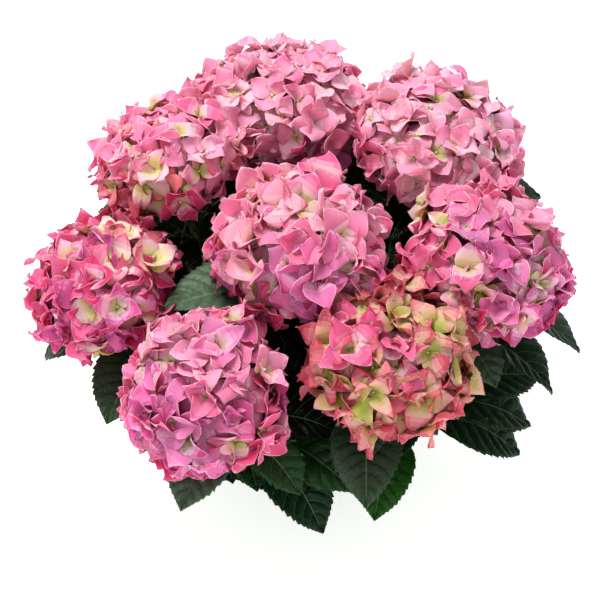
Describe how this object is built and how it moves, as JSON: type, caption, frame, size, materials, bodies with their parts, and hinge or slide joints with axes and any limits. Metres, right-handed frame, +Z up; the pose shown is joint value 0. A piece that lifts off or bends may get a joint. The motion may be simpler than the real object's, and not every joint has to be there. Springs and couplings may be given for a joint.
{
  "type": "hydrangea shrub",
  "caption": "Rooted mophead garden shrub: a short woody stem, arching canes, broad toothed leaves and large rounded pink flower heads over them.",
  "frame": {"origin": "centre of the flat cut under the short stem, at ground level", "axes": "+Z up from the level ground; -Y towards the side from which the shrub is usually seen; +X to the right as seen from there"},
  "size_m": [0.5273, 0.5318, 0.4352],
  "materials": {
    "bark": "rough, finely fissured grey-brown bark",
    "leaf": "semi-matt leaf, quilted between its veins",
    "petal": "soft matt petal"
  },
  "bodies": {
    "root": {"short_stem": "bark", "cane_back": "bark", "cane_back_left": "bark", "cane_back_right": "bark", "cane_left": "bark", "cane_middle": "bark", "cane_right": "bark", "cane_front_left": "bark", "cane_front_right": "bark", "cane_side_1": "bark", "cane_side_2": "bark", "cane_side_3": "bark", "cane_side_4": "bark", "cane_side_5": "bark", "cane_side_6": "bark", "cane_side_7": "bark", "foliage_back": "leaf", "foliage_back_left": "leaf", "foliage_back_right": "leaf", "foliage_left": "leaf", "foliage_middle": "leaf", "foliage_right": "leaf", "foliage_front_left": "leaf", "foliage_front_right": "leaf", "foliage_side_1": "leaf", "foliage_side_2": "leaf", "foliage_side_3": "leaf", "foliage_side_4": "leaf", "foliage_side_5": "leaf", "foliage_side_6": "leaf", "foliage_side_7": "leaf", "bloom_back": "petal", "bloom_back_left": "petal", "bloom_back_right": "petal", "bloom_left": "petal", "bloom_middle": "petal", "bloom_right": "petal", "bloom_front_left": "petal", "bloom_front_right": "petal"}
  },
  "joints": []
}
